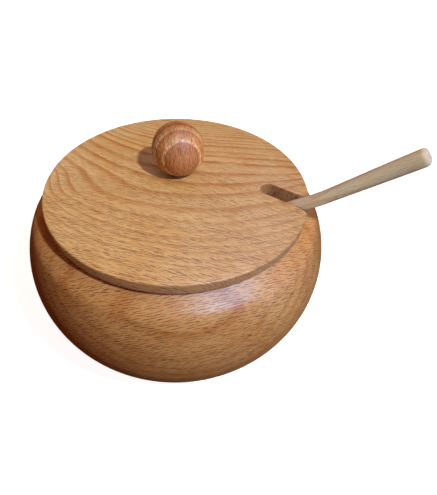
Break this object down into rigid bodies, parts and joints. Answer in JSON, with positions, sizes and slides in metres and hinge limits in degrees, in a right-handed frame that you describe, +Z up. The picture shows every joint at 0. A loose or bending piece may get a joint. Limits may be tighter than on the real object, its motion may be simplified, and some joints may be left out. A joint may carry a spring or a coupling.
{
  "type": "wooden sugar bowl",
  "caption": "Squat turned beech sugar bowl with a flat lift-off lid, a ball knob and a slot at the lid's edge through which a wooden spoon's handle leans out.",
  "frame": {"origin": "centre of the flat base, on the surface that the bowl stands on", "axes": "+Z up along the bowl's axis, +X along the lid's slot towards its open end and the spoon's handle"},
  "size_m": [0.138, 0.125, 0.0969],
  "materials": {
    "bowl_beech": "satin oiled",
    "lid_beech": "satin oiled",
    "knob_beech": "satin oiled",
    "dowel_beech": "raw",
    "spoon_wood": "raw, sanded"
  },
  "bodies": {
    "bowl": {"bowl": "bowl_beech"},
    "lid": {"lid": "lid_beech", "knob": "knob_beech", "knob_dowel": "dowel_beech"},
    "spoon": {"spoon": "spoon_wood"}
  },
  "joints": [
    {"name": "lid_lift", "type": "slide", "parent": "bowl", "child": "lid", "axis": [0, 0, 1], "range_m": [0, 0.08]},
    {"name": "spoon_tilt", "type": "hinge", "parent": "bowl", "child": "spoon", "pos_m": [-0.0241, 0.0156, 0.03], "axis": [0, -1, 0], "range_deg": [0, 4]}
  ]
}
